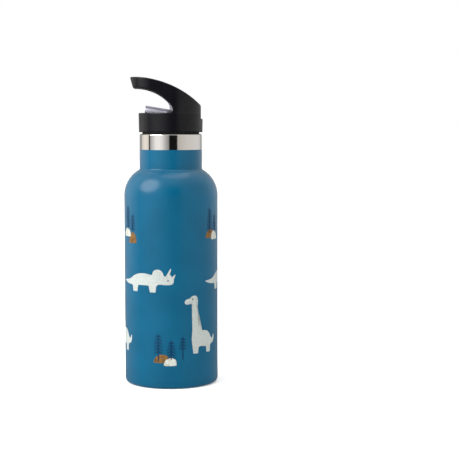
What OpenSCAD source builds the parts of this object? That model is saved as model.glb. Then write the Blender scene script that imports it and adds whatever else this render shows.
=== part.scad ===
// Double-wall kids water bottle with a screw-on straw lid. The lid has a fixed hook handle and a
// spout that folds flat. Origin: centre of the base, on the bottle's axis. The hook points along -X.

/* [Bottle] */
// Outside diameter of the body
body_d = 73; // [66:0.5:84]
// Height where the straight side ends and the shoulder begins
side_h = 147.2; // [100:0.1:190]
// Radius of the shoulder's round
shoulder_r = 23; // [19:0.1:24]
// Outside diameter of the neck
neck_d = 48.54; // [46:0.02:52]
// Radius of the hollow round between shoulder and neck
neck_fillet = 1.8; // [1:0.1:4]
// Height of the mouth above the base
mouth_h = 195.1; // [185:0.1:260]
// Round on the lower edge of the body
base_round = 3.5; // [2:0.1:5]
// Steel thickness of the outer wall
outer_wall = 0.5; // [0.4:0.1:1]
// Steel thickness of the liner
liner_wall = 0.4; // [0.3:0.1:0.8]
// Vacuum space between the two walls
vacuum_gap = 3.4; // [2:0.1:4.5]
// Inside diameter of the mouth
mouth_d = 44.5; // [42:0.1:44.6]
// Height of the liner's floor above the base
floor_h = 6; // [5:0.1:12]

/* [Thread] */
// Rise of the lid in one turn
pitch = 4; // [3:0.25:5]
// Turns of thread on the plug, and in the neck
turns = 1.25; // [1:0.25:1.5]
// Height of a thread ridge
ridge_h = 1.1; // [0.9:0.1:1.3]
// Width of a ridge at its crest
ridge_w = 1; // [0.8:0.1:1.2]
// Radial clearance between plug and neck
thread_gap = 0.4; // [0.3:0.05:0.5]

/* [Lid] */
// Diameter of the lid ring
lid_d = 50.2; // [49.6:0.1:56]
// Height of the lid ring at the front
lid_h = 14.9; // [13:0.1:18]
// Height of the lid ring behind the hook
lid_rear_h = 10.3; // [8:0.1:12]
// Thickness of the lid skirt
skirt_wall = 2.2; // [1.6:0.1:3]
// Thickness of the lid deck
deck_t = 5.4; // [4.5:0.1:6]
// Space between the lid skirt and the steel mouth
lid_lift = 1.4; // [1:0.1:2]
// Depth of the plug below the lid skirt
plug_depth = 18.5; // [17:0.1:24]

/* [Hook] */
// Rise of the hook above the lid ring
hook_h = 27.5; // [24:0.1:34]
// Distance of the hook's tip in front of the axis
hook_reach = 31.3; // [28:0.1:36]
// Distance of the hook's flat back behind the axis
hook_back = 23.4; // [22:0.1:24.2]
// Radius of the hook's outer curve
hook_outer_r = 77.5; // [70:0.1:85]
// Radius of the hook's inner curve
hook_inner_r = 34.9; // [32:0.1:38]
// Radius of the round at the inner corner
hook_corner_r = 3; // [2:0.1:4]
// Thickness of the hook at its tip
hook_t = 8.4; // [7:0.1:9.5]
// Plan radius of the hook's two front corners
hook_tip_r = 16; // [12:0.5:18]
// Width of the window between the hook's two arms
window_w = 23; // [20:0.5:25]

/* [Spout] */
// Length of the spout from its pivot to its tip
spout_len = 19.3; // [16:0.1:20]
// Width of the spout
spout_w = 13; // [10:0.1:14]
// Thickness of the spout
spout_t = 6.4; // [5:0.1:6.6]
// Height of the spout's own axis above the pivot
spout_lift = 0.9; // [0:0.1:1]
// Angle of the folded spout above level
spout_rest = 9.5; // [8:0.5:14]
// Angle that the spout flips through
spout_flip = 100; // [80:1:105]
// Diameter of the spout's hub
hub_d = 7.4; // [7:0.1:8]
// Length of the spout's hub
hub_w = 17.4; // [15:0.1:18]
// Diameter of the spout's trunnions
trunnion_d = 2.4; // [2:0.1:2.6]

/* [Straw] */
// Outside diameter of the straw
straw_d = 7; // [6:0.1:8]
// Wall thickness of the straw
straw_wall = 0.75; // [0.5:0.05:1]
// Gap between the straw and the liner's floor
straw_gap = 2.5; // [2:0.1:10]

/* [Hidden] */
$fn = 96;

TINY = 0.02;             // overlap that keeps cut faces from coinciding
FAR = 2 * (mouth_h + body_d); // longer than anything that it cuts
RUNNING_FIT = 0.03;      // radial clearance of a pin or tube that turns or slides
SLIP = 0.2;              // clearance between lid pieces that are assembled by hand

body_r = body_d / 2;
neck_r = neck_d / 2;
mouth_r = mouth_d / 2;
shoulder_x = body_r - shoulder_r;

// outer bottom
rim_hole_r = body_r - base_round - 3;
bottom_step_h = 1.8;
bottom_step_w = 1.2;
bottom_foot_w = 3;
evacuation_r = 1.2;
cover_r = 12;
cover_t = 0.6;
getter_r = 5;
getter_h = 2.5;
getter_x = 16;

// liner
liner_r = body_r - outer_wall - vacuum_gap;
liner_shoulder_r = liner_r - shoulder_x;
liner_neck_r = mouth_r + liner_wall;
liner_fillet = 2.5;
liner_corner = 6.5;
liner_seam_h = floor_h + liner_corner + 1.5;
foil_t = 0.12;
rim_t = 1.2;
rim_round = 1.1;

// thread: the neck's ridge, and the plug's ridge under it
flank = 0.4;             // extra half width of a ridge at its root
ridge_flank_gap = 1.6;   // the plug's ridge centre lies this far below the neck's
plug_r = mouth_r - ridge_h - thread_gap;
neck_ridge_z = mouth_h - 10.6;
plug_ridge_z = neck_ridge_z - ridge_flank_gap;
lid_rise = pitch * turns;

// lid stack, from the skirt's lower edge up
lid_r = lid_d / 2;
lid_z = mouth_h + lid_lift;
lid_draft = 0.3;         // the ring is this much narrower in radius at its lower edge
deck_z = lid_z + lid_h;
cavity_z = deck_z - deck_t;
cavity_r = lid_r - lid_draft - skirt_wall + 0.3;
flange_t = 2.5;
flange_r = cavity_r - SLIP / 2;
plug_wall = 2;
plug_z = lid_z - plug_depth;
plate_t = 2;
plate_z = lid_z + flange_t;
gasket_h = 3.9;
gasket_seat = 0.05;      // radial clearance of the gasket in the mouth
oring_r = 0.8;
oring_ring_r = plug_r - 1.3;

// flow path
riser_r = 6.2;
riser_bore_r = 3.2;
grommet_wall = 1.1;
grommet_len = 12;
grommet_lip_t = 1.4;
grommet_z = plug_z - 8;
straw_r = straw_d / 2;
straw_z = floor_h + straw_gap + liner_wall;
straw_top = grommet_z + grommet_len;
grommet_r = straw_r + RUNNING_FIT + grommet_wall;
port_r = 2.2;
seal_r = 4.2;

// spout
pivot_x = -1;
pivot_z = deck_z - 1.4;
hub_r = hub_d / 2;
trunnion_r = trunnion_d / 2;
trunnion_len = 2.8;
channel_w = 8;
channel_t = 3;
outlet_r = 2;
seal_drop = hub_r - 1.4; // the seal's horns end this far below the pivot
block_drop = 2;          // so does the block round it
tab_x = hub_r - 1.4;     // outer face of the thumb tab, behind the pivot
tab_r = 8;
tab_t = 2.2;
tab_rise = 4.1;          // centre of the tab's curve above the deck
tab_top = 8.5;           // the tab's end above the deck
tab_room = 3.8;          // the turned tab stays within this depth below the pivot
pocket_front = hub_r + 0.5; // pocket for the hub, measured from the pivot
pocket_back = deck_z + tab_top - pivot_z + 0.9;
pocket_w = hub_w + 0.6;
trough_w = spout_w + 1.2;
trough_len = spout_len + 1.6;

// hook
hook_tip_x = hook_tip_r - hook_reach;
hook_top = deck_z + hook_h;
hook_centre_x = -30.4;
hook_back_r = 2;         // round where the outer curve meets the flat back
hook_centre_z = hook_top - hook_outer_r;
inner_x = -27.3;
inner_z = hook_top - hook_t - hook_inner_r;
corner_z = deck_z + hook_corner_r;
corner_x = inner_x + sqrt(pow(hook_inner_r - hook_corner_r, 2) - pow(corner_z - inner_z, 2));
window_front = 9.2;      // thickness of the tip bar in front of the window
window_back = 14;
window_round = 7;
tip_slant_w = 2.4;       // the tip's lower edge lies this far behind its upper edge
bearing_w = 3.6;
bearing_h = 0.9;

// vent
vent_y = 13;
vent_r = 2.2;
vent_flange_r = 3.8;
vent_len = 5;

// ---- shared shapes ----

// Half section of a vessel with a rounded lower edge, a round shoulder and a straight neck.
// inset moves every surface inward by that much.
module vessel_section(r, z0, corner, shoulder, nr, fillet, top, inset) {
    cx = r - shoulder;
    fx = nr + fillet;
    fz = side_h + sqrt(pow(shoulder + fillet, 2) - pow(fx - cx, 2));
    ri = r - inset;
    ci = corner - inset;
    intersection() {
        union() {
            translate([0, z0 + corner]) square([ri, side_h - z0 - corner]);
            translate([0, z0 + inset]) square([r - corner, side_h - z0 - inset]);
            translate([r - corner, z0 + corner]) circle(ci);
            difference() {
                union() {
                    translate([cx, side_h]) circle(shoulder - inset);
                    translate([0, side_h - 1]) square([cx, shoulder - inset + 1]);
                    polygon([[0, side_h], [cx, side_h], [fx, fz], [0, fz]]);
                }
                translate([fx, fz]) circle(fillet + inset);
                translate([-FAR, z0 - FAR]) square([FAR * 2, FAR]);
            }
            translate([0, side_h]) square([nr - inset, top - side_h]);
        }
        translate([0, z0]) square([FAR, top - z0]);
    }
}

// One helical ridge round the Z axis. z is its centre height at angle 0.
module helix_ridge(root_r, crest_r, z) {
    step = 10;
    n = round(turns * 360 / step);
    function fade(i) = min(1, min(i, n - i) / 2);
    function ring(i) = let (
        a = i * step,
        h = z + pitch * a / 360,
        c = root_r + (crest_r - root_r) * (0.3 + 0.7 * fade(i)),
        w = ridge_w / 2
    ) [
        [root_r * cos(a), root_r * sin(a), h - w - flank],
        [c * cos(a), c * sin(a), h - w],
        [c * cos(a), c * sin(a), h + w],
        [root_r * cos(a), root_r * sin(a), h + w + flank]
    ];
    points = [for (i = [0:n]) each ring(i)];
    outward = crest_r > root_r;
    function quad(q) = outward ? q : [q[3], q[2], q[1], q[0]];
    sides = [
        for (i = [0:n - 1]) for (k = [0:3])
            quad([4 * i + k, 4 * i + (k + 1) % 4, 4 * i + 4 + (k + 1) % 4, 4 * i + 4 + k])
    ];
    ends = [quad([3, 2, 1, 0]), quad([4 * n, 4 * n + 1, 4 * n + 2, 4 * n + 3])];
    polyhedron(points, concat(sides, ends), convexity = 6);
}

// A cylinder along Y through the point (x, z)
module cross_cylinder(x, z, r, w) {
    translate([x, w / 2, z]) rotate([90, 0, 0]) cylinder(r = r, h = w);
}

// A prism with a stadium section, w wide along Y and t thick, running len from the pivot to the tip
module spout_prism(w, t, len) {
    translate([pivot_x, 0, pivot_z]) rotate([0, spout_rest, 0]) translate([-len, 0, spout_lift]) {
        translate([0, -(w - t) / 2, -t / 2]) cube([len, w - t, t]);
        for (side = [-1, 1])
            translate([0, side * (w - t) / 2, 0]) rotate([0, 90, 0]) cylinder(d = t, h = len);
    }
}

// Everything above the folded spout's underside, from the pivot to len in front of it
module spout_room(len, w) {
    translate([pivot_x, 0, pivot_z]) rotate([0, spout_rest, 0])
        translate([-len, -w / 2, spout_lift - spout_t / 2 - 0.3]) cube([len, w, spout_t * 3]);
}

// Room for the thumb tab when the spout is up
module tab_clearance() {
    translate([pivot_x + tab_x + 0.25, -FAR / 2, pivot_z - tab_room]) cube([FAR, FAR, FAR]);
}

// ---- bottle ----

module outer_shell() {
    color("#10688c") rotate_extrude() {
        difference() {
            vessel_section(body_r, 0, base_round, shoulder_r, neck_r, neck_fillet, mouth_h - rim_t, 0);
            vessel_section(body_r, 0, base_round, shoulder_r, neck_r, neck_fillet, mouth_h, outer_wall);
            translate([-1, -1]) square([rim_hole_r + 1, 1 + outer_wall * 2]);
        }
        // rolled rim
        difference() {
            translate([liner_neck_r, mouth_h - rim_t]) square([neck_r - liner_neck_r, rim_t]);
            difference() {
                translate([neck_r - rim_round, mouth_h - rim_round]) square(rim_round + 1);
                translate([neck_r - rim_round, mouth_h - rim_round]) circle(rim_round);
            }
        }
    }
}

module outer_bottom() {
    step_r = rim_hole_r - bottom_foot_w;
    color("silver") difference() {
        rotate_extrude() polygon([
            [0, bottom_step_h], [step_r - bottom_step_w, bottom_step_h], [step_r, 0], [rim_hole_r, 0],
            [rim_hole_r, outer_wall], [step_r + 0.4, outer_wall],
            [step_r + 0.4 - bottom_step_w, bottom_step_h + outer_wall], [0, bottom_step_h + outer_wall]
        ]);
        translate([0, 0, -1]) cylinder(r = evacuation_r, h = bottom_step_h + outer_wall + 2);
    }
}

module base_cover() {
    color("gainsboro") translate([0, 0, bottom_step_h - cover_t]) cylinder(r = cover_r, h = cover_t);
}

module getter() {
    color("dimgray") translate([getter_x, 0, bottom_step_h + outer_wall])
        cylinder(r = getter_r, h = getter_h);
}

module seal_bead() {
    color("#3a4a3a") translate([0, 0, bottom_step_h]) {
        cylinder(r = evacuation_r, h = outer_wall);
        translate([0, 0, outer_wall]) cylinder(r1 = evacuation_r * 2, r2 = evacuation_r, h = 0.8);
    }
}

module inner_liner() {
    color("lightgray") {
        rotate_extrude() difference() {
            vessel_section(liner_r, floor_h, liner_corner, liner_shoulder_r, liner_neck_r,
                liner_fillet, mouth_h, 0);
            vessel_section(liner_r, floor_h, liner_corner, liner_shoulder_r, liner_neck_r,
                liner_fillet, mouth_h + 1, liner_wall);
            square([FAR, liner_seam_h]);
        }
        helix_ridge(mouth_r + liner_wall / 2, mouth_r - ridge_h, neck_ridge_z);
    }
}

module liner_bottom() {
    color("lightgray") rotate_extrude() difference() {
        vessel_section(liner_r, floor_h, liner_corner, liner_shoulder_r, liner_neck_r,
            liner_fillet, mouth_h, 0);
        vessel_section(liner_r, floor_h, liner_corner, liner_shoulder_r, liner_neck_r,
            liner_fillet, mouth_h + 1, liner_wall);
        translate([0, liner_seam_h]) square([FAR, FAR]);
    }
}

module radiation_foil() {
    color("#b87333") translate([0, 0, liner_seam_h + 3]) difference() {
        cylinder(r = liner_r + foil_t, h = side_h - liner_seam_h - 6);
        translate([0, 0, -1]) cylinder(r = liner_r, h = side_h);
    }
}

// ---- lid ----

module lip_gasket() {
    gasket_r = mouth_r - gasket_seat;
    color("#151515") translate([0, 0, lid_z - gasket_h]) difference() {
        cylinder(r = gasket_r, h = gasket_h);
        translate([0, 0, -1]) cylinder(r = plug_r + RUNNING_FIT, h = gasket_h + 2);
    }
}

// Plan of the hook: the lid's circle, drawn out to a blunt tip with two round corners
module hook_plan(h) {
    ring_r = lid_r - 0.2;
    tip_y = ring_r - hook_tip_r - 0.2;
    lean = asin((ring_r - hook_tip_r) / norm([hook_tip_x, tip_y])) - atan2(tip_y, -hook_tip_x);
    side = [
        [-ring_r * sin(lean), ring_r * cos(lean)],
        [hook_tip_x - hook_tip_r * sin(lean), tip_y + hook_tip_r * cos(lean)],
        [-hook_reach, tip_y]
    ];
    cylinder(r = ring_r, h = h);
    for (y = [-tip_y, tip_y]) translate([hook_tip_x, y, 0]) cylinder(r = hook_tip_r, h = h);
    linear_extrude(h) polygon(concat(side, [for (i = [2:-1:0]) [side[i][0], -side[i][1]]]));
}

// Points of an arc about (x, z), from one angle to another
function arc(x, z, r, from, to, n) =
    [for (i = [0:n]) let (a = from + (to - from) * i / n) [x + r * cos(a), z + r * sin(a)]];

// The hook seen from the side: the outer curve, the tip's slanted end, the inner curve and its corner
module hook_profile() {
    back_x = hook_back - hook_back_r;
    back_z = hook_centre_z + sqrt(pow(hook_outer_r - hook_back_r, 2) - pow(back_x - hook_centre_x, 2));
    back_angle = atan2(back_z - hook_centre_z, back_x - hook_centre_x);
    tip_angle = acos((-hook_reach - hook_centre_x) / hook_outer_r);
    lower_tip_x = -hook_reach + tip_slant_w;
    inner_angle = acos((lower_tip_x - inner_x) / hook_inner_r);
    corner_angle = atan2(corner_z - inner_z, corner_x - inner_x);
    polygon(concat(
        [[hook_back, cavity_z]],
        arc(back_x, back_z, hook_back_r, 0, back_angle - 4, 6),
        arc(hook_centre_x, hook_centre_z, hook_outer_r, back_angle, tip_angle, 24),
        arc(inner_x, inner_z, hook_inner_r, inner_angle, corner_angle, 20),
        arc(corner_x, corner_z, hook_corner_r, corner_angle - 6, -90, 12),
        [[corner_x, cavity_z]]
    ));
}

module hook_window() {
    front = -hook_reach + window_front;
    for (side = [-1, 1])
        translate([front + window_round, side * (window_w / 2 - window_round), deck_z])
            cylinder(r = window_round, h = FAR);
    translate([front, -window_w / 2 + window_round, deck_z])
        cube([window_round + TINY, window_w - 2 * window_round, FAR]);
    translate([front + window_round, -window_w / 2, deck_z])
        cube([window_back - front - window_round, window_w, FAR]);
}

module hook() {
    difference() {
        intersection() {
            translate([0, 0, cavity_z]) hook_plan(hook_top + 1 - cavity_z);
            translate([0, FAR / 2, 0]) rotate([90, 0, 0]) linear_extrude(FAR) hook_profile();
        }
        hook_window();
    }
}

module lid_housing() {
    pocket_x = pivot_x - pocket_front;
    trunnion_y = hub_w / 2;
    color("#1c1d21") difference() {
        union() {
            // ring, with a slight draft, cut away behind the hook
            difference() {
                translate([0, 0, lid_z]) cylinder(r1 = lid_r - lid_draft, r2 = lid_r, h = lid_h);
                translate([hook_back, -FAR / 2, lid_z + lid_rear_h]) cube([FAR, FAR, FAR]);
            }
            hook();
            // humps over the trunnions
            for (side = [-1, 1])
                intersection() {
                    cross_cylinder(pivot_x, pivot_z - 1, trunnion_r + 2.1, hub_w + 2 * bearing_w + 1);
                    translate([pivot_x - 5, side > 0 ? pocket_w / 2 : -pocket_w / 2 - bearing_w, cavity_z])
                        cube([10, bearing_w, deck_t + bearing_h]);
                }
        }
        // hollow under the deck
        translate([0, 0, lid_z - 1]) cylinder(r = cavity_r, h = cavity_z - lid_z + 1);
        // pocket for the hub
        translate([pocket_x, -pocket_w / 2, cavity_z - 1])
            cube([pocket_front + pocket_back, pocket_w, deck_t + 1 + TINY]);
        // trough for the folded spout
        spout_room(trough_len, trough_w);
        // bearings, open downward for assembly
        cross_cylinder(pivot_x, pivot_z, trunnion_r + RUNNING_FIT, 2 * (trunnion_y + trunnion_len + SLIP));
        translate([pivot_x - trunnion_r - RUNNING_FIT, -trunnion_y - trunnion_len - SLIP, cavity_z - 1])
            cube([
                2 * (trunnion_r + RUNNING_FIT), 2 * (trunnion_y + trunnion_len + SLIP),
                pivot_z - cavity_z + 1
            ]);
    }
}

module screw_plug() {
    color("#202126") difference() {
        union() {
            translate([0, 0, lid_z]) cylinder(r = flange_r, h = flange_t);
            translate([0, 0, plug_z]) cylinder(r = plug_r, h = lid_z - plug_z + TINY);
            helix_ridge(plug_r - 0.3, plug_r + ridge_h, plug_ridge_z);
            translate([0, 0, grommet_z]) cylinder(r = riser_r, h = lid_z - grommet_z);
        }
        // hollow between the wall and the riser
        translate([0, 0, plug_z + plug_wall]) difference() {
            cylinder(r = plug_r - plug_wall, h = FAR);
            translate([0, 0, -1]) cylinder(r = riser_r, h = lid_z + flange_t - plug_z - plug_wall + 1);
        }
        translate([0, 0, grommet_z - 1]) cylinder(r = grommet_r, h = grommet_len + 1);
        translate([0, 0, grommet_z]) cylinder(r = riser_bore_r, h = FAR);
        // O-ring groove in the flange
        translate([0, 0, plate_z - 2 * oring_r]) difference() {
            cylinder(r = oring_ring_r + oring_r, h = 2 * oring_r + 1);
            translate([0, 0, -1]) cylinder(r = oring_ring_r - oring_r, h = 2 * oring_r + 3);
        }
        // seat of the vent valve
        translate([0, vent_y, plug_z - 1]) cylinder(r = vent_r, h = plug_wall + 2);
    }
}

module plug_seal() {
    color("#d8d8d8") translate([0, 0, plate_z - oring_r])
        rotate_extrude() translate([oring_ring_r, 0]) circle(oring_r, $fn = 32);
}

module spout_retainer() {
    block_x = pivot_x - pocket_front + SLIP;
    block_len = pocket_front + pocket_back - 2 * SLIP;
    block_w = pocket_w - 2 * SLIP;
    plate_top = plate_z + plate_t;
    color("#26272b") difference() {
        union() {
            translate([0, 0, plate_z]) cylinder(r = flange_r, h = plate_t);
            translate([block_x, -block_w / 2, plate_z])
                cube([block_len, block_w, pivot_z - block_drop - plate_z]);
            // lugs under the trunnions
            for (side = [-1, 1])
                translate([
                    pivot_x - trunnion_r + 0.1, side * (hub_w / 2 + trunnion_len / 2 + 0.25) - 1.1, plate_z
                ])
                    cube([2 * trunnion_r - 0.2, 2.2, pivot_z - trunnion_r - 0.05 - plate_z]);
        }
        // cradle for the hub
        cross_cylinder(pivot_x, pivot_z, hub_r + 0.15, FAR / 4);
        tab_clearance();
        spout_room(trough_len, pocket_w);
        // flow port, with its counterbore
        translate([pivot_x, 0, plate_z - 1]) cylinder(r = port_r, h = FAR);
        translate([pivot_x, 0, plate_top + 1]) cylinder(r = seal_r, h = FAR);
        // vent hole
        translate([0, vent_y, plate_z - 1]) cylinder(r = 0.8, h = plate_t + 2);
    }
}

module spout_seal() {
    color("#c9ccd1") difference() {
        translate([pivot_x, 0, plate_z + plate_t + 1])
            cylinder(r = seal_r, h = pivot_z - seal_drop - plate_z - plate_t - 1);
        translate([pivot_x, 0, plate_z]) cylinder(r = port_r, h = FAR);
        cross_cylinder(pivot_x, pivot_z, hub_r + RUNNING_FIT, FAR / 4);
        tab_clearance();
    }
}

module vent_valve() {
    color("#e4e6ea") translate([0, vent_y, 0]) difference() {
        union() {
            translate([0, 0, plug_z + plug_wall]) cylinder(r = vent_flange_r, h = 1);
            translate([0, 0, plug_z - 1]) cylinder(r = vent_r, h = plug_wall + 1 + TINY);
            intersection() {
                translate([0, 0, plug_z - vent_len]) cylinder(r = vent_r, h = vent_len);
                translate([-FAR / 2, 0, 0]) rotate([90, 0, 90]) linear_extrude(FAR) polygon([
                    [-vent_r, plug_z], [-0.5, plug_z - vent_len], [0.5, plug_z - vent_len], [vent_r, plug_z]
                ]);
            }
        }
        translate([0, 0, plug_z - 1]) cylinder(r = vent_r - 1, h = FAR);
        translate([-vent_r + 0.5, -0.1, plug_z - vent_len - 1]) cube([2 * vent_r - 1, 0.2, vent_len + 1]);
    }
}

module straw_grommet() {
    color("#dfe2e6") difference() {
        union() {
            translate([0, 0, grommet_z]) cylinder(r = grommet_r, h = grommet_len);
            translate([0, 0, grommet_z - grommet_lip_t]) cylinder(r = riser_r, h = grommet_lip_t);
        }
        translate([0, 0, grommet_z - grommet_lip_t - 1])
            cylinder(r = straw_r + RUNNING_FIT, h = grommet_len + grommet_lip_t + 2);
    }
}

module straw() {
    notch = 3;
    color("#e8edf0") difference() {
        translate([0, 0, straw_z]) cylinder(r = straw_r, h = straw_top - straw_z);
        translate([0, 0, straw_z - 1]) cylinder(r = straw_r - straw_wall, h = FAR * 2);
        // notch in the lower end, so the straw never seals on the floor
        translate([0, FAR / 2, straw_z]) rotate([90, 0, 0]) linear_extrude(FAR)
            polygon([[-notch, -1], [notch, -1], [0, notch]]);
    }
}

module spout() {
    outlet_angle = spout_flip - 90;
    color("#b9b9c6") difference() {
        union() {
            cross_cylinder(pivot_x, pivot_z, hub_r, hub_w);
            cross_cylinder(pivot_x, pivot_z, trunnion_r, hub_w + 2 * trunnion_len);
            spout_prism(spout_w, spout_t, spout_len);
            // thumb tab
            intersection() {
                difference() {
                    cross_cylinder(pivot_x + tab_x - tab_r, deck_z + tab_rise, tab_r, spout_w);
                    cross_cylinder(pivot_x + tab_x - tab_r, deck_z + tab_rise, tab_r - tab_t, spout_w + 1);
                }
                translate([pivot_x - hub_r / 2, -spout_w, pivot_z])
                    cube([FAR, 2 * spout_w, deck_z + tab_top - pivot_z]);
            }
        }
        spout_prism(channel_w, channel_t, spout_len + 1);
        translate([pivot_x, 0, pivot_z]) rotate([0, 90 - outlet_angle, 0])
            cylinder(r = outlet_r, h = hub_r * 2);
    }
}

outer_shell();
outer_bottom();
base_cover();
getter();
seal_bead();
inner_liner();
liner_bottom();
radiation_foil();
lip_gasket();
lid_housing();
screw_plug();
plug_seal();
spout_retainer();
spout_seal();
vent_valve();
straw_grommet();
straw();
spout();
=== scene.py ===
"""Looks of a double-wall kids water bottle with a screw-on straw lid.

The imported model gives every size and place. This file dresses it: a powder-coated steel body with
printed motifs, a polished steel neck, a moulded black lid with a hook handle, and a clear spout.
Sizes are in millimetres and become metres when a piece is made.
"""

from __future__ import annotations

import sys

import logging
import math
from collections.abc import Iterable, Sequence
from dataclasses import dataclass, field
from enum import Enum

import bmesh
import bpy
from mathutils import Matrix, Vector

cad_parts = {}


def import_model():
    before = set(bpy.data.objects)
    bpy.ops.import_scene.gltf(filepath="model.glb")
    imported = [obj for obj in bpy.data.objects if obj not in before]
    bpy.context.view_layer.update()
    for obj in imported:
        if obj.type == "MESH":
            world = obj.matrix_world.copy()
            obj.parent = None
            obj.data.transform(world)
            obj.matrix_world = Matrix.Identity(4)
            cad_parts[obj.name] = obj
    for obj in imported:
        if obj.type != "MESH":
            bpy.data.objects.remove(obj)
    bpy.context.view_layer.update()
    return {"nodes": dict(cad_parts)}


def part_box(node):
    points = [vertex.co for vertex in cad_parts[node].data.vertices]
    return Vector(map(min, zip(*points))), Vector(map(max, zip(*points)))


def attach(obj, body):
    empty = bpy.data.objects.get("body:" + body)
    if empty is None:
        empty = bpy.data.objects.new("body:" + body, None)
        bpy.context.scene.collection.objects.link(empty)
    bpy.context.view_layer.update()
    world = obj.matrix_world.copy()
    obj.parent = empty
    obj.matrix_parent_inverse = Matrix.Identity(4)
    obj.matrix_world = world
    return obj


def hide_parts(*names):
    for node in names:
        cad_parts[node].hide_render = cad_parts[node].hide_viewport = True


LOG = logging.getLogger("bottle")
MM = 0.001
TURN = 2 * math.pi
THIRDS = (0, 1, 2)

Point = tuple[float, float]
Colour = tuple[float, float, float, float]


# ---------------------------------------------------------------- small helpers


def linear(code: str, alpha: float = 1.0) -> Colour:
    """Turn an sRGB hex colour into linear values.

    Args:
        code: colour such as "#10688c".
        alpha: fourth value of the result.

    Returns:
        Red, green, blue and alpha.
    """
    parts = [int(code[i : i + 2], 16) / 255 for i in (1, 3, 5)]
    red, green, blue = (c / 12.92 if c <= 0.04045 else ((c + 0.055) / 1.055) ** 2.4 for c in parts)
    return red, green, blue, alpha


def per_mm(size: float) -> float:
    """Scale of a noise or wave pattern on Object coordinates whose features are size mm wide."""
    return 1 / (size * MM)


def arc(centre: Point, radius: float, start: float, end: float, steps: int) -> list[Point]:
    """Points along an arc in a plane.

    Args:
        centre: centre of the arc, in mm.
        radius: radius in mm.
        start: first angle in degrees, counter-clockwise from the first axis.
        end: last angle in degrees.
        steps: number of straight steps.

    Returns:
        steps + 1 points, in mm.
    """
    angles = (math.radians(start + (end - start) * i / steps) for i in range(steps + 1))
    return [(centre[0] + radius * math.cos(a), centre[1] + radius * math.sin(a)) for a in angles]


def rounded(outline: Sequence[Point], passes: int = 2) -> list[Point]:
    """Cut the corners of a closed outline, so that it reads as drawn with a soft pen.

    Args:
        outline: corner points in order.
        passes: how many times every corner is cut.

    Returns:
        The softened outline.
    """
    points = list(outline)
    for _ in range(passes):
        soft = []
        for (x0, y0), (x1, y1) in zip(points, points[1:] + points[:1]):
            soft.append((0.75 * x0 + 0.25 * x1, 0.75 * y0 + 0.25 * y1))
            soft.append((0.25 * x0 + 0.75 * x1, 0.25 * y0 + 0.75 * y1))
        points = soft
    return points


def add_node(
    tree: bpy.types.NodeTree, kind: str, inputs: dict[str | int, object] | None = None, **settings: object
) -> bpy.types.Node:
    """Add a node with its settings, values and links.

    Args:
        tree: node tree to add to.
        kind: node type, such as "ShaderNodeTexNoise".
        inputs: socket name or number to a value, or to the output socket that feeds it.
        settings: properties of the node.

    Returns:
        The new node.
    """
    node = tree.nodes.new(kind)
    for key, value in settings.items():
        setattr(node, key, value)
    for key, value in (inputs or {}).items():
        if isinstance(value, bpy.types.NodeSocket):
            tree.links.new(value, node.inputs[key])
        else:
            node.inputs[key].default_value = value
    return node


def set_ramp(node: bpy.types.Node, stops: Sequence[tuple[float, Colour]]) -> None:
    """Give a Color Ramp node its stops.

    Args:
        node: the ramp node.
        stops: position and colour of each stop, in order.
    """
    ramp = node.color_ramp
    while len(ramp.elements) > 1:
        ramp.elements.remove(ramp.elements[-1])
    ramp.elements[0].position, ramp.elements[0].color = stops[0]
    for position, colour in stops[1:]:
        ramp.elements.new(position).color = colour


# ---------------------------------------------------------------- finishes


@dataclass(frozen=True)
class Finish:
    """A surface finish. Each kind below is named for the real material."""

    name: str

    def material(self) -> bpy.types.Material:
        """The finish's material, made on first use."""
        found = bpy.data.materials.get(self.name)
        if found:
            return found
        made = bpy.data.materials.new(self.name)
        made.use_nodes = True
        shader = made.node_tree.nodes["Principled BSDF"]
        self.dress(made.node_tree, shader)
        return made

    def dress(self, tree: bpy.types.NodeTree, shader: bpy.types.Node) -> None:
        """Set up the shader. Each finish has its own.

        Args:
            tree: the material's node tree.
            shader: its Principled shader.
        """
        raise NotImplementedError

    @staticmethod
    def place(tree: bpy.types.NodeTree) -> bpy.types.NodeSocket:
        """Object coordinates."""
        return add_node(tree, "ShaderNodeTexCoord").outputs["Object"]

    @staticmethod
    def grain(
        tree: bpy.types.NodeTree,
        place: bpy.types.NodeSocket,
        size: float,
        detail: float = 3.0,
        stretch: float = 1.0,
    ) -> bpy.types.NodeSocket:
        """Noise with features of a real size.

        Args:
            tree: the material's node tree.
            place: coordinates that the noise reads.
            size: width of a feature, in mm.
            detail: number of finer layers.
            stretch: how much longer a feature is round the bottle than up it.

        Returns:
            The noise's value, from 0 to 1.
        """
        if stretch != 1.0:
            place = add_node(
                tree, "ShaderNodeMapping", {"Vector": place, "Scale": (1 / stretch, 1 / stretch, 1.0)}
            ).outputs["Vector"]
        noise = add_node(
            tree, "ShaderNodeTexNoise", {"Vector": place, "Scale": per_mm(size), "Detail": detail}
        )
        return noise.outputs["Fac"]

    @staticmethod
    def bump(
        tree: bpy.types.NodeTree,
        shader: bpy.types.Node,
        height: bpy.types.NodeSocket,
        depth: float,
        strength: float,
    ) -> None:
        """Feed a bump to the shader.

        Args:
            tree: the material's node tree.
            shader: the shader that it goes to.
            height: pattern of heights, from 0 to 1.
            depth: real depth of the pattern, in mm.
            strength: share of it that shows.
        """
        node = add_node(
            tree, "ShaderNodeBump", {"Height": height, "Distance": depth * MM, "Strength": strength}
        )
        tree.links.new(node.outputs["Normal"], shader.inputs["Normal"])

    @staticmethod
    def between(
        tree: bpy.types.NodeTree, value: bpy.types.NodeSocket, low: float, high: float
    ) -> bpy.types.NodeSocket:
        """A pattern's value stretched to run from low to high."""
        node = add_node(
            tree,
            "ShaderNodeMapRange",
            {"Value": value, "From Min": 0.3, "From Max": 0.7, "To Min": low, "To Max": high},
        )
        return node.outputs["Result"]


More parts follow.
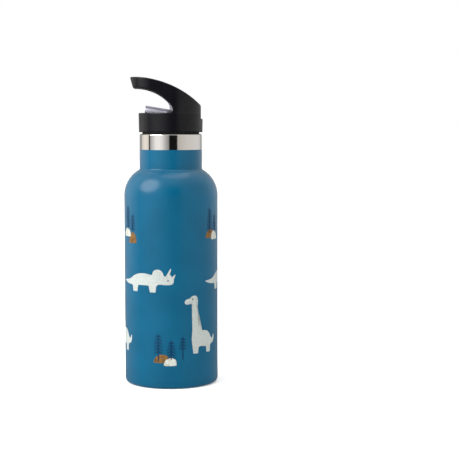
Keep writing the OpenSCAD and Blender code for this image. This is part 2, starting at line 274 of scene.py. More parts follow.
@dataclass(frozen=True)
class PowderCoat(Finish):
    """Polyester powder coat, baked on steel: satin, with a very fine orange peel."""

    colour: str = "#005474"
    shade: str = "#004e6c"
    gloss: float = 0.25
    peel_mm: float = 0.9
    patch_mm: float = 26.0

    def dress(self, tree: bpy.types.NodeTree, shader: bpy.types.Node) -> None:
        """Satin paint whose tone drifts a little over the body."""
        place = self.place(tree)
        drift = self.grain(tree, place, self.patch_mm, 1.0)
        ramp = add_node(tree, "ShaderNodeValToRGB", {"Fac": self.between(tree, drift, 0.0, 1.0)})
        set_ramp(ramp, [(0.0, linear(self.shade)), (1.0, linear(self.colour))])
        peel = self.grain(tree, place, self.peel_mm, 2.0)
        tree.links.new(ramp.outputs["Color"], shader.inputs["Base Color"])
        tree.links.new(self.between(tree, peel, 0.21, 0.27), shader.inputs["Roughness"])
        shader.inputs["IOR"].default_value = 1.5
        shader.inputs["Specular IOR Level"].default_value = self.gloss
        shader.inputs["Sheen Weight"].default_value = 0.16
        shader.inputs["Sheen Roughness"].default_value = 0.4
        self.bump(tree, shader, peel, 0.008, 0.25)


@dataclass(frozen=True)
class PrintInk(Finish):
    """Pad-printed ink: matt, slightly uneven, with fine speckles where the screen let less through."""

    colour: str = "#b3bab7"
    fleck: str = "#989e99"
    fleck_mm: float = 0.55

    def dress(self, tree: bpy.types.NodeTree, shader: bpy.types.Node) -> None:
        """Matt ink with flecks."""
        place = self.place(tree)
        flecks = self.grain(tree, place, self.fleck_mm, 3.0)
        ramp = add_node(tree, "ShaderNodeValToRGB", {"Fac": flecks})
        set_ramp(ramp, [(0.38, linear(self.fleck)), (0.56, linear(self.colour))])
        tree.links.new(ramp.outputs["Color"], shader.inputs["Base Color"])
        shader.inputs["Roughness"].default_value = 0.42
        shader.inputs["Specular IOR Level"].default_value = 0.15
        self.bump(tree, shader, flecks, 0.01, 0.3)


@dataclass(frozen=True)
class PolishedSteel(Finish):
    """Stainless steel. Polished on the neck, or electropolished and duller inside."""

    colour: str = "#dad7d3"
    roughness: float = 0.08
    line_mm: float = 0.35

    def dress(self, tree: bpy.types.NodeTree, shader: bpy.types.Node) -> None:
        """Metal with faint marks that run round it, drawn coarser than the real ones so that they show."""
        place = self.place(tree)
        lines = self.grain(tree, place, self.line_mm, 2.0, 90.0)
        shader.inputs["Metallic"].default_value = 1.0
        shader.inputs["Base Color"].default_value = linear(self.colour)
        tree.links.new(
            self.between(tree, lines, self.roughness * 0.8, self.roughness * 1.25), shader.inputs["Roughness"]
        )
        self.bump(tree, shader, lines, 0.003, 0.1)


@dataclass(frozen=True)
class MouldedPlastic(Finish):
    """Injection-moulded polypropylene: near black, with a fine spark-eroded texture."""

    colour: str = "#0b0b11"
    roughness: float = 0.28
    texture_mm: float = 0.35

    def dress(self, tree: bpy.types.NodeTree, shader: bpy.types.Node) -> None:
        """Fine texture and a little wear in the gloss."""
        place = self.place(tree)
        texture = self.grain(tree, place, self.texture_mm, 2.0)
        wear = self.grain(tree, place, 9.0, 4.0)
        shader.inputs["Base Color"].default_value = linear(self.colour)
        shader.inputs["Specular IOR Level"].default_value = 0.3
        tree.links.new(
            self.between(tree, wear, self.roughness - 0.04, self.roughness + 0.05), shader.inputs["Roughness"]
        )
        self.bump(tree, shader, texture, 0.01, 0.25)


@dataclass(frozen=True)
class ClearPlastic(Finish):
    """Clear copolyester or polypropylene: light passes through, the surface is glossy."""

    colour: str = "#c9c9d6"
    roughness: float = 0.05
    clear: float = 0.9
    ior: float = 1.5

    def dress(self, tree: bpy.types.NodeTree, shader: bpy.types.Node) -> None:
        """See-through plastic with faint flow marks from moulding."""
        flow = self.grain(tree, self.place(tree), 4.0, 2.0)
        shader.inputs["Base Color"].default_value = linear(self.colour)
        shader.inputs["Transmission Weight"].default_value = self.clear
        shader.inputs["IOR"].default_value = self.ior
        tree.links.new(
            self.between(tree, flow, self.roughness * 0.7, self.roughness * 1.4), shader.inputs["Roughness"]
        )
        self.bump(tree, shader, flow, 0.03, 0.15)


@dataclass(frozen=True)
class FrostedSmoke(Finish):
    """Frosted smoke copolyester, with its light and shade painted in: a darker band of painted shade runs
    along the spout between bands painted near white, as painted light shining through it from behind.
    """

    # Painted shade colour of the spout's darker band, and painted light colour of its near-white bands.
    painted_shade_tone: str = "#858393"
    painted_light_tone: str = "#f2f1ff"
    clear: float = 0.25
    tilt: float = 9.5
    pivot: Point = (-1.0, 210.0)

    def dress(self, tree: bpy.types.NodeTree, shader: bpy.types.Node) -> None:
        """Two tones of painted light and shade, split along the spout at its height above the pivot."""
        place = self.place(tree)
        lean = (math.sin(math.radians(self.tilt)), math.cos(math.radians(self.tilt)))
        foot = self.pivot[0] * lean[0] + self.pivot[1] * lean[1]
        height = add_node(
            tree, "ShaderNodeVectorMath", {0: place, 1: (lean[0], 0.0, lean[1])}, operation="DOT_PRODUCT"
        )
        share = add_node(
            tree,
            "ShaderNodeMapRange",
            {"Value": height.outputs["Value"], "From Min": foot * MM, "From Max": (foot + 6.0) * MM},
        )
        ramp = add_node(tree, "ShaderNodeValToRGB", {"Fac": share.outputs["Result"]})
        # Painted light and shade: near white where light shines through the spout, and darker in the band of
        # painted shade between.
        set_ramp(
            ramp,
            [
                (0.3, linear(self.painted_light_tone)), (0.4, linear(self.painted_shade_tone)), (0.58, linear(self.painted_shade_tone)),
                (0.72, linear(self.painted_light_tone)),
            ],
        )
        flow = self.grain(tree, place, 4.0, 2.0)
        tree.links.new(ramp.outputs["Color"], shader.inputs["Base Color"])
        shader.inputs["Transmission Weight"].default_value = self.clear
        shader.inputs["IOR"].default_value = 1.3
        tree.links.new(self.between(tree, flow, 0.12, 0.2), shader.inputs["Roughness"])
        self.bump(tree, shader, flow, 0.03, 0.15)


@dataclass(frozen=True)
class Silicone(Finish):
    """Food-grade silicone rubber: soft sheen, dusty look, slightly see-through when milky."""

    colour: str = "#d7d9dc"
    milk: float = 0.35

    def dress(self, tree: bpy.types.NodeTree, shader: bpy.types.Node) -> None:
        """Matt rubber."""
        dust = self.grain(tree, self.place(tree), 0.6, 3.0)
        shader.inputs["Base Color"].default_value = linear(self.colour)
        shader.inputs["Transmission Weight"].default_value = self.milk
        shader.inputs["IOR"].default_value = 1.41
        tree.links.new(self.between(tree, dust, 0.5, 0.66), shader.inputs["Roughness"])
        self.bump(tree, shader, dust, 0.015, 0.25)


@dataclass(frozen=True)
class Sintered(Finish):
    """Pressed powder, foil or fused glass on the hidden vacuum side."""

    colour: str = "#4a4a4a"
    metallic: float = 0.0
    roughness: float = 0.5
    grain_mm: float = 0.4

    def dress(self, tree: bpy.types.NodeTree, shader: bpy.types.Node) -> None:
        """Grainy surface."""
        grain = self.grain(tree, self.place(tree), self.grain_mm, 4.0)
        shader.inputs["Base Color"].default_value = linear(self.colour)
        shader.inputs["Metallic"].default_value = self.metallic
        tree.links.new(
            self.between(tree, grain, self.roughness * 0.85, self.roughness * 1.15), shader.inputs["Roughness"]
        )
        self.bump(tree, shader, grain, 0.03, 0.4)


@dataclass(frozen=True)
class StudioFloor(Finish):
    """White seamless paper, lit a little from below."""

    colour: str = "#f7f7f7"
    glow: float = 0.2

    def dress(self, tree: bpy.types.NodeTree, shader: bpy.types.Node) -> None:
        """Matt white paper with a faint fibre."""
        fibre = self.grain(tree, self.place(tree), 1.5, 2.0)
        shader.inputs["Base Color"].default_value = linear(self.colour)
        shader.inputs["Roughness"].default_value = 0.9
        shader.inputs["Specular IOR Level"].default_value = 0.1
        shader.inputs["Emission Color"].default_value = (1.0, 1.0, 1.0, 1.0)
        shader.inputs["Emission Strength"].default_value = self.glow
        self.bump(tree, shader, fibre, 0.02, 0.1)


class Finishes(Enum):
    """Every finish on the bottle."""

    COAT = PowderCoat("powder_coat_teal")
    CREAM = PrintInk("print_ink_cream")
    OCHRE = PrintInk("print_ink_ochre", "#7d5b31", "#5b4325", 1.4)
    OCHRE_EDGE = PrintInk("print_ink_pale_ochre", "#948463", "#7d6d4d", 0.8)
    WHITE = PrintInk("print_ink_white", "#c9d3d4", "#bcc6c7", 0.8)
    WHITE_PATCH = PrintInk("print_ink_warm_white", "#b9c0ba", "#a9a491", 1.2)
    NAVY = PrintInk("print_ink_navy", "#002a4e", "#002546", 0.8)
    NECK = PolishedSteel("polished_stainless_steel")
    LINER = PolishedSteel("electropolished_stainless_steel", "#c9c7c3", 0.26, 0.5)
    LID = MouldedPlastic("moulded_black_polypropylene")
    INNER_LID = MouldedPlastic("moulded_black_polypropylene_plain", "#141518", 0.36, 0.8)
    SPOUT = FrostedSmoke("smoke_clear_copolyester")
    STRAW = ClearPlastic("clear_polypropylene_straw", "#e6eaee", 0.16, 0.85, 1.49)
    SEAL = Silicone("milky_silicone")
    GASKET = Silicone("black_silicone", "#121212", 0.0)
    FOIL = Sintered("copper_foil", "#c98a63", 1.0, 0.28, 2.0)
    GETTER = Sintered("sintered_getter_alloy", "#55565a", 0.6, 0.6, 0.3)
    SOLDER = Sintered("fused_solder_glass", "#1f2b22", 0.0, 0.15, 1.0)
    FLOOR = StudioFloor("white_studio_paper")


# ---------------------------------------------------------------- making pieces


def make_piece(
    name: str,
    bm: bmesh.types.BMesh,
    finishes: Sequence[Finishes],
    body: str,
    replaces: Sequence[str] = (),
    sharp: float = 35.0,
) -> bpy.types.Object:
    """Turn a bmesh in millimetres into a piece that rides on a body.

    Args:
        name: name of the piece.
        bm: its geometry, in mm, which is freed.
        finishes: finish of each material index.
        body: the body that it rides on.
        replaces: CAD nodes that it stands for.
        sharp: edges that turn by more than this many degrees stay sharp.

    Returns:
        The new object.
    """
    bm.transform(Matrix.Scale(MM, 4))
    mesh = bpy.data.meshes.new(name)
    bm.to_mesh(mesh)
    bm.free()
    for finish in finishes:
        mesh.materials.append(finish.value.material())
    mesh.shade_smooth()
    mesh.set_sharp_from_angle(angle=math.radians(sharp))
    piece = bpy.data.objects.new(name, mesh)
    bpy.context.scene.collection.objects.link(piece)
    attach(piece, body)
    if replaces:
        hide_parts(*replaces)
    LOG.info("%s: %d faces on %s", name, len(mesh.polygons), body)
    return piece


def lathe(profile: Iterable[Point], steps: int = 192) -> bmesh.types.BMesh:
    """Spin a closed profile round the Z axis.

    Args:
        profile: (radius, height) points of a closed loop, in mm.
        steps: number of steps in the turn.

    Returns:
        A closed ring-shaped surface with its faces outward.
    """
    bm = bmesh.new()
    ring = [bm.verts.new((r, 0.0, z)) for r, z in profile]
    for a, b in zip(ring, ring[1:] + ring[:1]):
        bm.edges.new((a, b))
    bmesh.ops.spin(
        bm,
        geom=bm.verts[:] + bm.edges[:],
        cent=(0, 0, 0),
        axis=(0, 0, 1),
        angle=TURN,
        steps=steps,
        use_merge=True,
    )
    bmesh.ops.remove_doubles(bm, verts=bm.verts, dist=1e-4)
    bmesh.ops.recalc_face_normals(bm, faces=bm.faces)
    return bm


def softened_copy(
    name: str,
    node: bpy.types.Object,
    voxel: float,
    smoothing: int,
    finish: Finishes,
    body: str,
) -> bpy.types.Object:
    """A copy of a CAD node with every edge rounded, as a mould leaves it.

    Args:
        name: name of the CAD node that the copy replaces.
        node: its object.
        voxel: size of the even mesh, in mm. Edges come out rounded by about three of these.
        smoothing: passes of smoothing.
        finish: finish of the piece.
        body: the body that it rides on.

    Returns:
        The new piece.
    """
    mesh = node.data.copy()
    bm = bmesh.new()
    bm.from_mesh(mesh)
    bmesh.ops.remove_doubles(bm, verts=bm.verts, dist=2e-6)
    bm.to_mesh(mesh)
    bm.free()
    worker = bpy.data.objects.new(f"{name}_worker", mesh)
    bpy.context.scene.collection.objects.link(worker)
    remesh = worker.modifiers.new("even", "REMESH")
    remesh.mode, remesh.voxel_size, remesh.use_smooth_shade = "VOXEL", voxel * MM, True
    smooth = worker.modifiers.new("soft", "SMOOTH")
    smooth.factor, smooth.iterations = 0.5, smoothing
    even = bpy.data.meshes.new_from_object(worker.evaluated_get(bpy.context.evaluated_depsgraph_get()))
    bpy.data.objects.remove(worker)
    bm = bmesh.new()
    bm.from_mesh(even)
    bm.transform(Matrix.Scale(1 / MM, 4))
    return make_piece(f"{name}_moulded", bm, [finish], body, [name], sharp=180.0)


# ---------------------------------------------------------------- bottle


@dataclass
class SteelBody:
    """Outer shell with its coat, and the neck's bare band."""

    side_h: float = 147.2
    shoulder_r: float = 23.0
    neck_r: float = 24.27
    neck_fillet: float = 1.8
    base_round: float = 3.5
    wall: float = 0.5
    base_hole_r: float = 30.0
    rim_in_r: float = 22.65
    rim_t: float = 1.2
    rim_round: float = 1.1
    coat_t: float = 0.08
    coat_top: float = 183.0
    coat_edge: float = 0.5
    body_r: float = field(init=False)
    mouth_h: float = field(init=False)

    def __post_init__(self) -> None:
        """Read the overall sizes from the frame."""
        low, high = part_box("outer_shell")
        self.body_r = (high[0] - low[0]) / 2 / MM
        self.mouth_h = high[2] / MM

    def path(self, out: float, top: float) -> list[Point]:
        """The shell's side from the base's hole up to the neck.

        Args:
            out: how far outside the steel the path runs, in mm.
            top: height where it ends.

        Returns:
            (radius, height) points.
        """
        inset = self.body_r - self.base_round
        centre = self.body_r - self.shoulder_r
        hollow = self.neck_r + self.neck_fillet
        rise = math.sqrt((self.shoulder_r + self.neck_fillet) ** 2 - (hollow - centre) ** 2)
        lean = math.degrees(math.atan2(rise, hollow - centre))
        hollow_z = self.side_h + rise
        points = [(self.base_hole_r, -out)]
        points += arc((inset, self.base_round), self.base_round + out, -90, 0, 10)
        points += arc((centre, self.side_h), self.shoulder_r + out, 0, lean, 28)
        points += arc((hollow, hollow_z), self.neck_fillet - out, 180 + lean, 180, 10)
        return points + [(self.neck_r + out, top)]

    def build(self) -> None:
        """Make the coat and the steel under it."""
        soft = arc((0.0, 0.0), 1.0, 0, 90, 4)
        foot = self.coat_top - self.coat_edge
        edge = [(self.neck_r + self.coat_t * x, foot + self.coat_edge * z) for x, z in soft]
        outer = self.path(self.coat_t, self.coat_top - self.coat_edge)
        inner = self.path(-0.02, self.coat_top)
        make_piece(
            "powder_coat", lathe(outer + edge + inner[::-1]), [Finishes.COAT], "bottle"
        )
        rim = arc((self.neck_r - self.rim_round, self.mouth_h - self.rim_round), self.rim_round, 0, 90, 8)
        steel = self.path(0.0, self.mouth_h - self.rim_t) + rim + [(self.rim_in_r, self.mouth_h)]
        step_z = self.mouth_h - self.rim_t
        steel += [(self.rim_in_r, step_z), (self.neck_r - self.wall, step_z)]
        inside = self.path(-self.wall, self.mouth_h - self.rim_t - 1)
        shell = lathe(steel + inside[::-1])
        make_piece("steel_shell", shell, [Finishes.NECK], "bottle", ["outer_shell"])

    def coat_radius(self) -> float:
        """Radius of the coat on the straight side, in mm."""
        return self.body_r + self.coat_t


# ---------------------------------------------------------------- printed motifs


@dataclass
class Wrapper:
    """Puts flat artwork on the round side of the body."""

    radius: float
    slice_mm: float = 1.5
    ink_mm: float = 0.05

    def wrap(self, bm: bmesh.types.BMesh, turn: float, height: float, layer: int) -> None:
        """Bend artwork that lies in the XZ plane round the body, and give it thickness.

        Args:
            bm: the artwork, in mm, with X along the circumference and Z up.
            turn: where its zero goes, in degrees from the front, positive towards +X.
            height: height of its zero above the base.
            layer: 0 for ink on the coat, 1 for ink printed over other ink, and so on.
        """
        reach = max(abs(v.co.x) for v in bm.verts) + self.slice_mm
        for i in range(int(2 * reach / self.slice_mm)):
            cut = Vector((-reach + i * self.slice_mm, 0, 0))
            bmesh.ops.bisect_plane(
                bm, geom=bm.verts[:] + bm.edges[:] + bm.faces[:], plane_co=cut, plane_no=(1, 0, 0), dist=1e-5
            )
        lift = self.radius + 0.01 + layer * self.ink_mm * 0.6
        for vert in bm.verts:
            angle = math.radians(turn) + vert.co.x / self.radius
            vert.co = Vector((lift * math.sin(angle), -lift * math.cos(angle), height + vert.co.z))
        bmesh.ops.recalc_face_normals(bm, faces=bm.faces)
        for face in bm.faces:
            centre = face.calc_center_median()
            if face.normal.x * centre.x + face.normal.y * centre.y < 0:
                face.normal_flip()
        made = bmesh.ops.extrude_face_region(bm, geom=bm.faces[:])["geom"]
        for vert in (g for g in made if isinstance(g, bmesh.types.BMVert)):
            out = Vector((vert.co.x, vert.co.y, 0)).normalized()
            vert.co += out * self.ink_mm
        bmesh.ops.recalc_face_normals(bm, faces=bm.faces)


def flat_shape(bm: bmesh.types.BMesh, outline: Sequence[Point], index: int = 0, border: float = 0.0) -> None:
    """Add a filled outline to flat artwork.

    Args:
        bm: the artwork.
        outline: its points, in mm.
        index: material index of the shape, or of its border if it has one.
        border: width of a border whose inside gets the next material index.
    """
    face = bm.faces.new([bm.verts.new((x, 0.0, z)) for x, z in outline])
    face.material_index = index
    if border:
        bmesh.ops.inset_individual(bm, faces=[face], thickness=border, use_even_offset=True)
        face.material_index = index + 1
    bmesh.ops.triangulate(bm, faces=bm.faces[:], ngon_method="EAR_CLIP")


@dataclass
class Dinosaur:
    """A plain toy-shaped dinosaur in one ink, with a dot for an eye. Zero is at its middle, at its feet."""

    name: str
    width: float
    shape: Sequence[Point]
    eye: Point
    eye_r: float = 0.55

    def centred(self, points: Sequence[Point]) -> list[Point]:
        """Points moved so that zero is at the animal's middle."""
        return [(x - self.width / 2, z) for x, z in points]

    def draw(self, wrapper: Wrapper, turn: float, height: float, number: int) -> None:
        """Print the animal and its eye.

        Args:
            wrapper: puts it on the body.
            turn: where its middle goes, in degrees from the front.
            height: height of its feet above the base.
            number: which of the three it is.
        """
        bm = bmesh.new()
        flat_shape(bm, rounded(self.centred(self.shape)))
        wrapper.wrap(bm, turn, height, 0)
        make_piece(f"print_{self.name}_{number}", bm, [Finishes.CREAM], "bottle")
        dot = bmesh.new()
        flat_shape(dot, arc(self.centred([self.eye])[0], self.eye_r, 0, 337.5, 15))
        wrapper.wrap(dot, turn, height, 2)
        make_piece(f"print_{self.name}_eye_{number}", dot, [Finishes.NAVY], "bottle")


class Animals(Enum):
    """The two animals, in mm. Each edge runs from the rear along the feet and back over the head."""

    HORNED = Dinosaur(
        "horned_dinosaur",
        49.5,
        (
            (0.0, 7.6), (0.2, 6.8), (6.0, 5.0), (12.0, 4.6), (13.4, 4.2), (13.5, 0.0), (14.0, -0.3),
            (18.2, -0.3), (18.7, 0.0), (18.8, 4.4), (20.0, 5.0), (29.0, 5.0), (30.2, 4.4), (30.3, 0.0),
            (30.8, -0.3), (34.8, -0.3), (35.3, 0.0), (35.6, 4.8), (38.0, 6.2), (44.0, 5.4), (48.6, 6.0),
            (49.5, 8.4), (49.2, 9.6), (50.8, 13.6), (50.3, 14.0), (47.6, 10.9), (45.6, 11.2),
            (47.6, 18.0), (46.9, 18.4), (43.0, 11.6), (41.8, 12.4), (40.4, 16.4), (36.4, 17.8), (33.0, 16.0),
            (32.6, 12.8), (29.0, 13.8), (22.0, 14.2), (15.5, 12.4), (10.0, 9.0), (5.0, 8.0),
        ),
        (45.0, 8.9),
    )
    LONG_NECK = Dinosaur(
        "long_neck_dinosaur",
        29.6,
        (
            (25.0, 6.0), (24.0, 4.4), (23.9, 0.2), (23.4, -0.2), (19.8, -0.2), (19.3, 0.2), (19.2, 4.4),
            (18.0, 5.2), (12.4, 5.2), (11.2, 4.4), (11.1, 0.2), (10.6, -0.2), (7.0, -0.2), (6.5, 0.2),
            (6.2, 5.0), (5.2, 10.0), (5.6, 16.0), (6.4, 24.0), (6.8, 32.0), (6.5, 37.0), (5.0, 38.8),
            (2.0, 38.0), (-0.2, 38.6), (-0.5, 40.6), (0.8, 42.0), (3.8, 42.6), (6.0, 44.8), (9.6, 44.6),
            (10.9, 41.4), (10.4, 36.0), (10.0, 28.0), (10.6, 21.0), (12.4, 17.2), (16.5, 17.2), (20.5, 16.6),
            (23.4, 13.8), (25.2, 10.4), (27.2, 9.6), (28.6, 12.8), (29.6, 12.8), (29.4, 8.4), (27.2, 6.0),
        ),
        (6.2, 42.0),
    )


@dataclass
class FirTree:
    """A fir drawn as a stem with bare, drooping boughs. Zero is at the stem's foot."""

    height: float = 21.2
    boughs: int = 6
    spread: float = 3.3
    bare: float = 0.27
    stem_w: float = 0.85
    bough_w: float = 0.95
    droop: float = 0.6

    def strokes(self) -> list[list[Point]]:
        """The stem and each bough, as four-sided strokes."""
        half, tip_w = self.stem_w / 2, self.bough_w * 0.55
        drawn = [[(-half, 0.0), (half, 0.0), (half * 0.5, self.height), (-half * 0.5, self.height)]]
        step = (self.height * (1 - self.bare) - 1.0) / self.boughs
        for i in range(self.boughs):
            reach = self.spread * (0.72 + 0.28 * min(1.0, i / 2))
            top = self.height - 0.7 - step * i
            tip = top - self.droop * reach
            for side in (-1, 1):
                ends = [(side * reach, tip), (side * (reach - 0.2), tip - tip_w)]
                drawn.append([(0.0, top)] + ends + [(0.0, top - self.bough_w)])
        return drawn


@dataclass
class Mound:
    """A rounded hummock with a flat foot. Zero is at the middle of its foot."""

    width: float = 11.0
    height: float = 7.0
    lean: float = 0.0
    border: float = 0.7

    def outline(self) -> list[Point]:
        """Its edge: a flat foot and a dome that leans."""
        dome = arc((0.0, 0.0), 1.0, 8, 172, 14)
        points = [(x * self.width / 2 + self.lean * z, z**0.8 * self.height) for x, z in dome]
        return [(-self.width / 2, 0.0), (self.width / 2, 0.0)] + points


@dataclass
class Grove:
    """Fir trees behind two hummocks. Zero is at the middle of the group's foot."""

    trees: Sequence[tuple[float, float, FirTree]]
    ochre: tuple[float, float, Mound]
    white: tuple[float, float, Mound]

    @staticmethod
    def place(outline: Sequence[Point], across: float, up: float) -> list[Point]:
        """An outline moved to its place in the group."""
        return [(x + across, z + up) for x, z in outline]

    def draw(self, wrapper: Wrapper, turn: float, height: float, name: str) -> None:
        """Print the group."""
        for number, (across, up, tree) in enumerate(self.trees):
            bm = bmesh.new()
            for stroke in tree.strokes():
                flat_shape(bm, self.place(stroke, across, up))
            wrapper.wrap(bm, turn, height, 2)
            make_piece(f"print_fir_{name}_{number}", bm, [Finishes.NAVY], "bottle")
        ochre, white = [Finishes.OCHRE_EDGE, Finishes.OCHRE], [Finishes.WHITE, Finishes.WHITE_PATCH]
        for word, mound, inks, slot, layer in (
            ("ochre", self.ochre, ochre, "print_ochre", 0),
            ("white", self.white, white, "print_cream", 1),
        ):
            across, up, shape = mound
            bm = bmesh.new()
            flat_shape(bm, self.place(rounded(shape.outline()), across, up), 0, shape.border)
            wrapper.wrap(bm, turn, height, layer)
            make_piece(f"print_mound_{word}_{name}", bm, inks, "bottle")


@dataclass
class Print:
    """The printed pattern. Everything comes three times round the body."""

    wrapper: Wrapper
    horned: tuple[float, float] = (-35.7, 75.0)
    long_neck: tuple[float, float] = (39.9, 27.2)
    low_grove: tuple[float, float] = (-5.0, 18.3)
    high_grove: tuple[float, float] = (60.0, 113.9)

    def build(self) -> None:
        """Print every motif."""
        low = Grove(
            [
                (-7.15, 3.3, FirTree()),
                (2.9, 5.0, FirTree(14.5, 6, 3.3, 0.0)),
                (11.9, 5.0, FirTree(17.2, 4, 2.8, 0.41)),
            ],
            (-4.7, 2.2, Mound(12.8, 6.6, 0.8)),
            (1.9, 0.0, Mound(9.8, 6.6, 1.0)),
        )
        high = Grove(
            [(-3.9, 6.0, FirTree(18.4, 7, 3.2, 0.1)), (3.6, 5.6, FirTree(13.5, 5, 3.0, 0.1))],
            (-3.6, 1.4, Mound(10.6, 6.8, 0.6)),
            (3.0, 0.0, Mound(9.4, 6.8, -0.4)),
        )
        left = Grove(
            [(4.0, 6.2, FirTree(13.6, 5, 3.0, 0.1)), (-3.2, 7.6, FirTree(18.4, 7, 3.2, 0.1))],
            (3.5, -2.4, Mound(9.8, 8.4, 0.3)),
            (-4.2, 2.4, Mound(11.0, 6.4, 0.3)),
        )
        for third in THIRDS:
            around = 120.0 * third
            Animals.HORNED.value.draw(self.wrapper, self.horned[0] + around, self.horned[1], third)
            Animals.LONG_NECK.value.draw(self.wrapper, self.long_neck[0] + around, self.long_neck[1], third)
            low.draw(self.wrapper, self.low_grove[0] + around, self.low_grove[1], f"low_{third}")
            group = left if third == 2 else high
            group.draw(self.wrapper, self.high_grove[0] + around, self.high_grove[1], f"high_{third}")


# ---------------------------------------------------------------- lid


@dataclass
class StrawLid:
    """Moulded lid, hook and spout."""

    housing_voxel: float = 0.42
    housing_smoothing: int = 5
    spout_voxel: float = 0.18
    spout_smoothing: int = 10

    def build(self, nodes: dict[str, bpy.types.Object]) -> None:
        """Round the mouldings' edges.

        Args:
            nodes: the frame's nodes by name.
        """
        for name, voxel, smoothing, finish, body, slot in (
            ("lid_housing", self.housing_voxel, self.housing_smoothing, Finishes.LID, "lid", "black_pp"),
            ("spout", self.spout_voxel, self.spout_smoothing, Finishes.SPOUT, "spout_body", "smoke_tritan"),
        ):
            softened_copy(name, nodes[name], voxel, smoothing, finish, body)


@dataclass
class InnerParts:
    """CAD pieces that keep their shape and get a finish."""

    finishes: dict[str, Finishes] = field(
        default_factory=lambda: {
            "outer_bottom": Finishes.NECK,
            "base_cover": Finishes.NECK,
            "getter": Finishes.GETTER,
            "seal_bead": Finishes.SOLDER,
            "inner_liner": Finishes.LINER,
            "liner_bottom": Finishes.LINER,
            "radiation_foil": Finishes.FOIL,
            "lip_gasket": Finishes.GASKET,
            "screw_plug": Finishes.INNER_LID,
            "plug_seal": Finishes.SEAL,
            "spout_retainer": Finishes.INNER_LID,
            "spout_seal": Finishes.SEAL,
            "vent_valve": Finishes.SEAL,
            "straw_grommet": Finishes.SEAL,
            "straw": Finishes.STRAW,
        }
    )

    def build(self, nodes: dict[str, bpy.types.Object]) -> None:
        """Give each node its finish.

        Args:
            nodes: the frame's nodes by name.
        """
        for name, finish in self.finishes.items():
            slots = nodes[name].data.materials
            slots.clear()
            slots.append(finish.value.material())
            LOG.info("%s: %s", name, finish.value.name)


# ---------------------------------------------------------------- studio


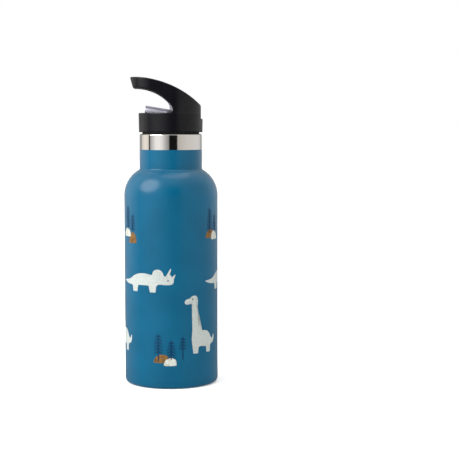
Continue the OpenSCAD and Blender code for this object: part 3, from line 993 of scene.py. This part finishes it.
@dataclass
class Studio:
    """Floor, light and camera. Distances are in metres here."""

    camera_distance: float = 0.974
    camera_height: float = 0.202
    lens: float = 97.47
    pitch: float = -4.79
    yaw: float = -2.68
    floor_size: float = 12.0

    def build(self) -> None:
        """Set up the studio."""
        self.add_camera()
        self.add_floor()
        self.add_world()
        self.add_lights()
        bpy.context.scene.view_settings.view_transform = "Standard"

    def add_camera(self) -> None:
        """A long lens, level with the neck."""
        data = bpy.data.cameras.new("camera")
        data.lens, data.sensor_width = self.lens, 36.0
        data.clip_start, data.clip_end = 0.01, 50.0
        camera = bpy.data.objects.new("camera", data)
        camera.location = (0.0, -self.camera_distance, self.camera_height)
        camera.rotation_euler = (math.radians(90 + self.pitch), 0.0, math.radians(self.yaw))
        bpy.context.scene.collection.objects.link(camera)
        bpy.context.scene.camera = camera

    def add_floor(self) -> None:
        """White paper under the bottle."""
        bm = bmesh.new()
        bmesh.ops.create_grid(bm, x_segments=4, y_segments=4, size=self.floor_size / 2)
        mesh = bpy.data.meshes.new("floor")
        bm.to_mesh(mesh)
        bm.free()
        mesh.materials.append(Finishes.FLOOR.value.material())
        floor = bpy.data.objects.new("floor", mesh)
        bpy.context.scene.collection.objects.link(floor)
        floor.visible_glossy = False

    def add_world(self) -> None:
        """Soft panels all round: bright on the left, duller and warm on the right, dark gaps between."""
        world = bpy.data.worlds.new("studio")
        world.use_nodes = True
        bpy.context.scene.world = world
        tree = world.node_tree
        tree.nodes.clear()
        ray = add_node(tree, "ShaderNodeTexCoord").outputs["Generated"]
        part = add_node(tree, "ShaderNodeSeparateXYZ", {0: ray})
        front = add_node(tree, "ShaderNodeMath", {0: part.outputs["Y"], 1: -1.0}, operation="MULTIPLY")
        angle = add_node(
            tree, "ShaderNodeMath", {0: part.outputs["X"], 1: front.outputs[0]}, operation="ARCTAN2"
        )
        share = add_node(
            tree,
            "ShaderNodeMapRange",
            {"Value": angle.outputs[0], "From Min": -math.pi, "From Max": math.pi},
        )
        panels = add_node(tree, "ShaderNodeValToRGB", {"Fac": share.outputs["Result"]})
        warm, cream, cool = (1.0, 0.95, 0.88), (1.0, 0.97, 0.91), (1.0, 1.0, 1.0)
        stops = [
            (-180, 0.45, cool), (-140, 0.36, cool), (-131, 0.9, warm), (-107, 1.14, warm), (-90.5, 0.95, warm),
            (-88.5, 0.04, cool), (-84, 0.04, cool), (-82, 0.5, cool), (-72, 0.75, cool), (-58, 1.13, cool),
            (-44, 1.18, cool), (-32, 1.0, cool), (-20, 0.62, cool), (-6.5, 0.33, cool), (-5.5, 0.01, cool),
            (23.5, 0.01, cool), (25, 0.62, cream), (40, 0.72, cream), (60, 0.8, cream), (116, 0.85, cool),
            (136, 0.75, cool), (145, 0.45, cool), (180, 0.45, cool),
        ]
        set_ramp(
            panels, [((a + 180) / 360, (v * c[0], v * c[1], v * c[2], 1.0)) for a, v, c in stops]
        )
        up = add_node(
            tree,
            "ShaderNodeMapRange",
            {"Value": part.outputs["Z"], "From Min": 0.55, "From Max": 0.85, "To Min": 0.0, "To Max": 1.0},
        )
        sky = add_node(
            tree,
            "ShaderNodeMix",
            {0: up.outputs["Result"], 6: panels.outputs["Color"], 7: (1.25, 1.25, 1.25, 1.0)},
            data_type="RGBA",
        )
        low = add_node(
            tree,
            "ShaderNodeMapRange",
            {"Value": part.outputs["Z"], "From Min": -0.15, "From Max": -0.03, "To Min": 0.2, "To Max": 1.0},
        )
        light = add_node(
            tree, "ShaderNodeBackground", {"Color": sky.outputs[2], "Strength": low.outputs["Result"]}
        )
        plain = add_node(tree, "ShaderNodeBackground", {"Color": (1.0, 1.0, 1.0, 1.0), "Strength": 1.0})
        seen = add_node(tree, "ShaderNodeLightPath").outputs["Is Camera Ray"]
        mixed = add_node(tree, "ShaderNodeMixShader", {0: seen, 1: light.outputs[0], 2: plain.outputs[0]})
        add_node(tree, "ShaderNodeOutputWorld", {0: mixed.outputs[0]})

    def add_lights(self) -> None:
        """A large softbox on the left and a fill from above."""
        for name, place, size, power in (
            ("key", (-1.7, -0.8, 1.5), 1.9, 58.0),
            ("top", (0.2, 0.2, 2.2), 1.6, 14.0),
        ):
            data = bpy.data.lights.new(name, "AREA")
            data.shape, data.size, data.energy = "DISK", size, power
            lamp = bpy.data.objects.new(name, data)
            lamp.location = place
            lamp.rotation_euler = (Vector((0, 0, 0.12)) - Vector(place)).to_track_quat("-Z", "Y").to_euler()
            lamp.visible_camera = False
            bpy.context.scene.collection.objects.link(lamp)


def main() -> None:
    """Build every class in order."""
    logging.basicConfig(level=logging.INFO, format="%(message)s", stream=sys.stdout)
    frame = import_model()
    Studio().build()
    steel = SteelBody()
    steel.build()
    Print(Wrapper(steel.coat_radius())).build()
    StrawLid().build(frame["nodes"])
    InnerParts().build(frame["nodes"])


if __name__ == "__main__":
    main()
